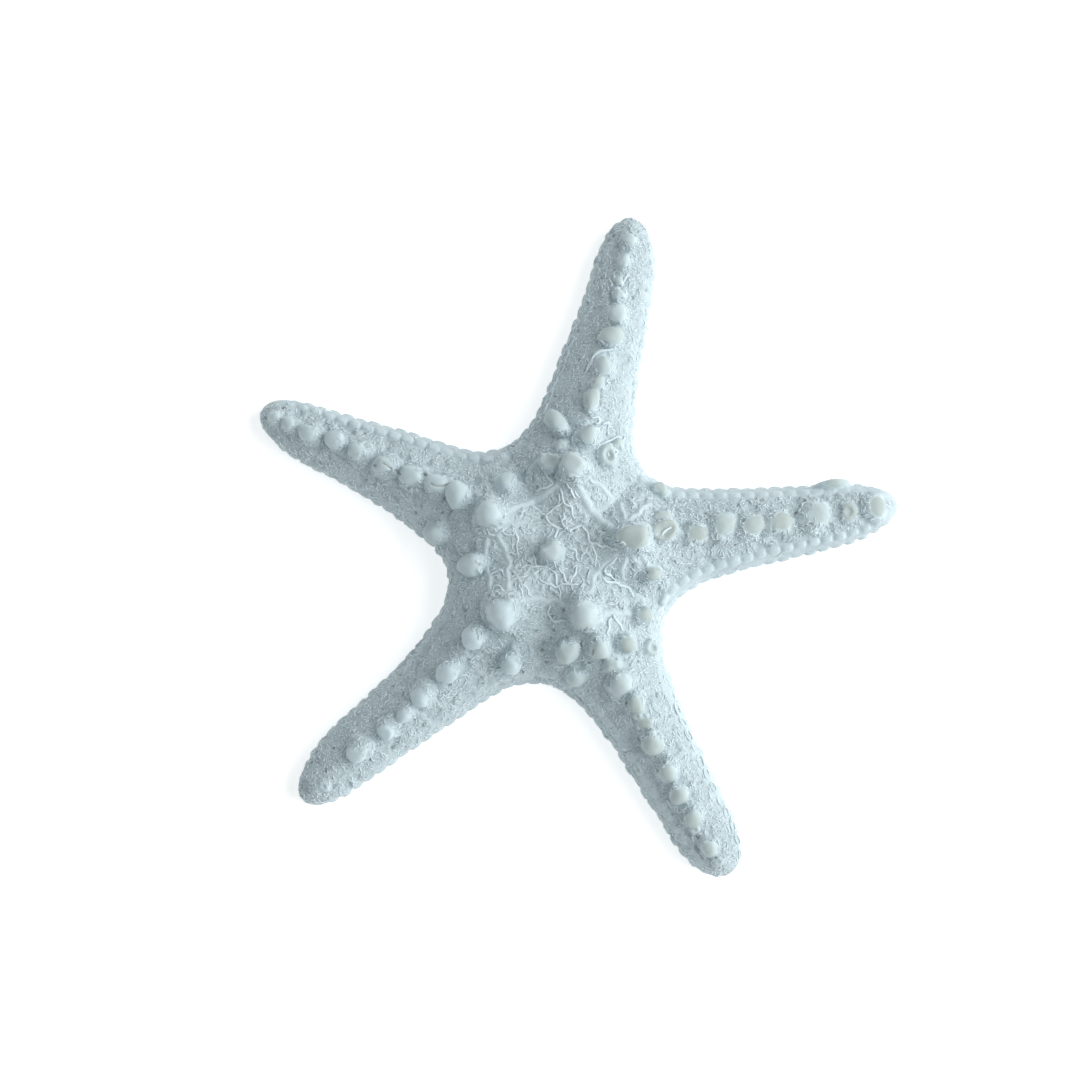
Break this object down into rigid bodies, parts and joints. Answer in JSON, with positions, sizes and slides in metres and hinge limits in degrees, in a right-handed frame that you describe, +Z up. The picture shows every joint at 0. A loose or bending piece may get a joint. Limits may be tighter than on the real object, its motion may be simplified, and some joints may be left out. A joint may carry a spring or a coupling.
{
  "type": "dried starfish",
  "caption": "Dried knobby starfish lying flat: tapering round-tipped arms, rows of blunt knobs, beaded edges and grooves underneath.",
  "frame": {"origin": "on the resting surface, under the middle of the outline", "axes": "+Z up through the thickness, away from the mouth side; +Y along the longest extent, to the picture's top; +X to the picture's right"},
  "size_m": [0.1148, 0.1187, 0.0182],
  "materials": {
    "skin": "matte"
  },
  "bodies": {
    "root": {"starfish": "skin"}
  },
  "joints": []
}
